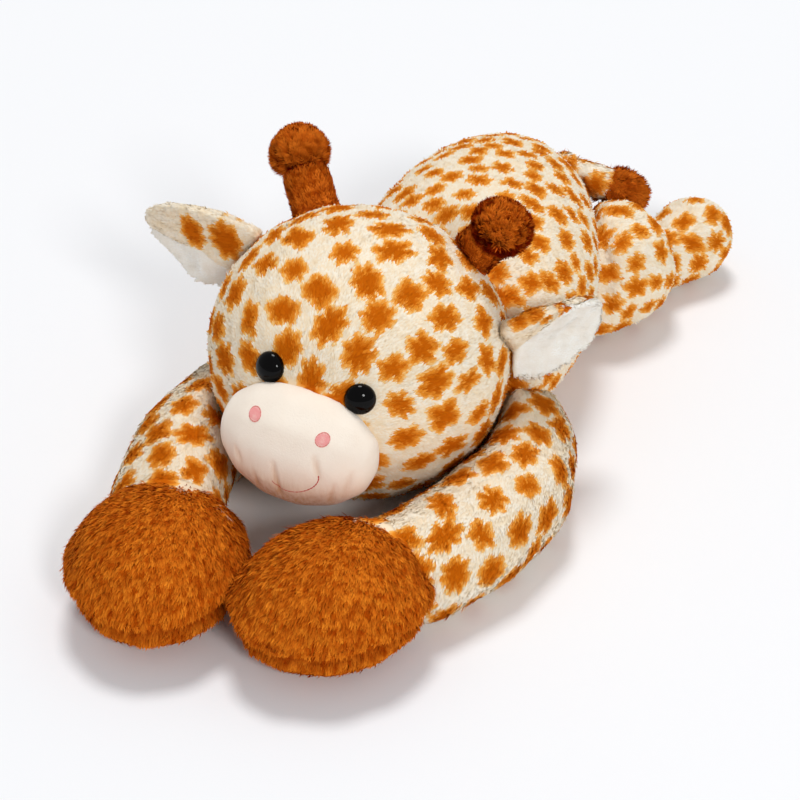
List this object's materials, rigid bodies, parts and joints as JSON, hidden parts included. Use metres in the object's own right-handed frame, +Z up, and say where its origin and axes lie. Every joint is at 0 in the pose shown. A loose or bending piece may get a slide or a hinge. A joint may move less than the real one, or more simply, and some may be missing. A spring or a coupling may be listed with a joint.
{
  "type": "plush giraffe",
  "caption": "Stuffed toy giraffe lying on its belly, with a round head, flattened muzzle, bead eyes, knobbed horns, cupped ears, bent front legs with large hooves, and a tufted tail.",
  "frame": {"origin": "on the floor, in the middle of the flat that the belly rests on", "axes": "+Z up, -Y towards the nose, +X towards the giraffe's own left"},
  "size_m": [0.328, 0.6246, 0.2205],
  "materials": {
    "spotted_plush": "cream plush with orange-brown spots",
    "brown_plush": "long rust-brown pile",
    "lining": "short pale pile",
    "velour": "smooth ivory velour",
    "thread": "embroidery thread",
    "nose_thread": "embroidery thread",
    "fibre": "polyester fibre",
    "eye": "polished",
    "washer": "moulded"
  },
  "bodies": {
    "torso": {"torso_skin": "spotted_plush", "torso_stuffing": "fibre"},
    "head": {"head_skin": "spotted_plush", "head_stuffing": "fibre", "muzzle_skin": "velour", "mouth_stitching": "thread", "left_eye": "eye", "left_eye_washer": "washer", "left_nostril": "nose_thread", "right_eye": "eye", "right_eye_washer": "washer", "right_nostril": "nose_thread"},
    "left_ear": {"left_ear_back": "spotted_plush", "left_ear_lining": "lining"},
    "right_ear": {"right_ear_back": "spotted_plush", "right_ear_lining": "lining"},
    "left_horn": {"left_horn_stem": "brown_plush", "left_horn_knob": "brown_plush"},
    "right_horn": {"right_horn_stem": "brown_plush", "right_horn_knob": "brown_plush"},
    "left_front_leg": {"left_front_sleeve": "spotted_plush", "left_front_hoof_top": "brown_plush", "left_front_hoof_sole": "brown_plush", "left_front_stuffing": "fibre"},
    "right_front_leg": {"right_front_sleeve": "spotted_plush", "right_front_hoof_top": "brown_plush", "right_front_hoof_sole": "brown_plush", "right_front_stuffing": "fibre"},
    "left_hind_leg": {"left_hind_skin": "spotted_plush", "left_hind_stuffing": "fibre"},
    "right_hind_leg": {"right_hind_skin": "spotted_plush", "right_hind_stuffing": "fibre"},
    "tail": {"tail_strip": "spotted_plush", "tail_tuft": "brown_plush"}
  },
  "joints": [
    {"name": "head_nod", "type": "hinge", "parent": "torso", "child": "head", "pos_m": [-0.016, -0.165, 0.099], "axis": [-0.9868, -0.0537, 0.153], "range_deg": [0, 8], "stiffness_Nm_per_rad": 1},
    {"name": "left_ear_flap", "type": "hinge", "parent": "head", "child": "left_ear", "pos_m": [0.08018, -0.13891, 0.11877], "axis": [0.1853, -0.0087, 0.9826], "range_deg": [-12, 12], "stiffness_Nm_per_rad": 0.05},
    {"name": "right_ear_flap", "type": "hinge", "parent": "head", "child": "right_ear", "pos_m": [-0.10391, -0.14893, 0.14732], "axis": [0.0756, 0.0263, -0.9968], "range_deg": [-12, 12], "stiffness_Nm_per_rad": 0.05},
    {"name": "left_horn_bend", "type": "hinge", "parent": "head", "child": "left_horn", "pos_m": [0.04555, -0.11902, 0.15029], "axis": [0.9868, 0.0537, -0.153], "range_deg": [-8, 8], "stiffness_Nm_per_rad": 0.5},
    {"name": "right_horn_bend", "type": "hinge", "parent": "head", "child": "right_horn", "pos_m": [-0.0637, -0.12496, 0.16723], "axis": [0.9868, 0.0537, -0.153], "range_deg": [-8, 8], "stiffness_Nm_per_rad": 0.5},
    {"name": "left_front_leg_swing", "type": "hinge", "parent": "torso", "child": "left_front_leg", "pos_m": [0.05, -0.09, 0.0215], "axis": [0, 0, 1], "range_deg": [0, 12], "stiffness_Nm_per_rad": 0.3},
    {"name": "right_front_leg_swing", "type": "hinge", "parent": "torso", "child": "right_front_leg", "pos_m": [-0.05, -0.071, 0.0215], "axis": [0, 0, -1], "range_deg": [0, 12], "stiffness_Nm_per_rad": 0.3},
    {"name": "left_hind_leg_swing", "type": "hinge", "parent": "torso", "child": "left_hind_leg", "pos_m": [0.052, 0.064, 0.0425], "axis": [0, 0, -1], "range_deg": [0, 12], "stiffness_Nm_per_rad": 0.3},
    {"name": "right_hind_leg_swing", "type": "hinge", "parent": "torso", "child": "right_hind_leg", "pos_m": [-0.052, 0.064, 0.0425], "axis": [0, 0, 1], "range_deg": [0, 12], "stiffness_Nm_per_rad": 0.3},
    {"name": "tail_lift", "type": "hinge", "parent": "torso", "child": "tail", "pos_m": [0.019, 0.124, 0.095], "axis": [0.225, -0.9744, 0], "range_deg": [0, 15], "stiffness_Nm_per_rad": 0.05}
  ]
}
